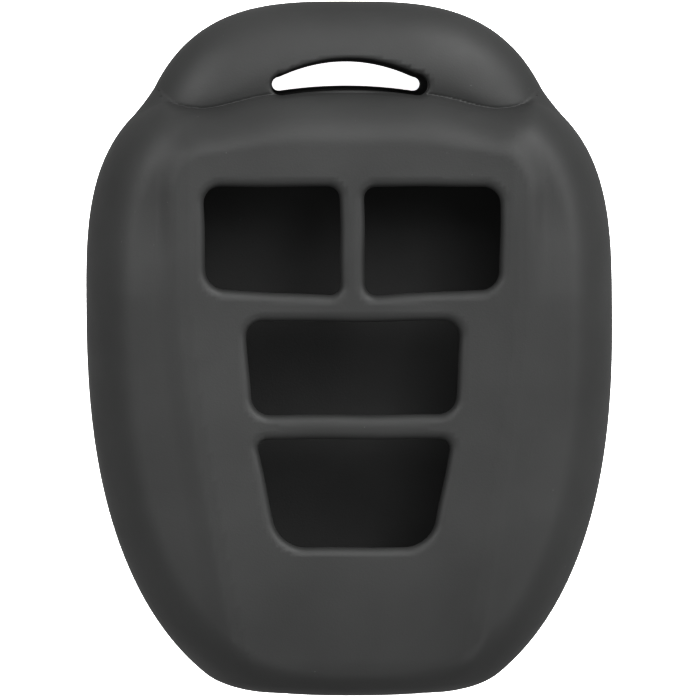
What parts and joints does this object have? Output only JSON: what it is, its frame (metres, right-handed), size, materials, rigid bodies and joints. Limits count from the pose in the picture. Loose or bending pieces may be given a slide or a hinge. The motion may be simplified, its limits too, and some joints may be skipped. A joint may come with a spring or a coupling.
{
  "type": "key fob cover",
  "caption": "Soft silicone sleeve that slips over a remote key fob, with open button windows, a hollow keyring tab with a crescent slot, and a mouth for the key blade.",
  "frame": {"origin": "on the surface that the cover lies on with its back down, under the middle of its width and length", "axes": "+X to the right, +Y from the mouth towards the keyring tab, +Z out of the side with the button windows"},
  "size_m": [0.0454, 0.06, 0.0164],
  "materials": {
    "silicone": "matte, finely grained charcoal silicone rubber"
  },
  "bodies": {
    "root": {"front_wall": "silicone", "back_wall": "silicone", "keyring_tab": "silicone", "mouth_end": "silicone"}
  },
  "joints": []
}
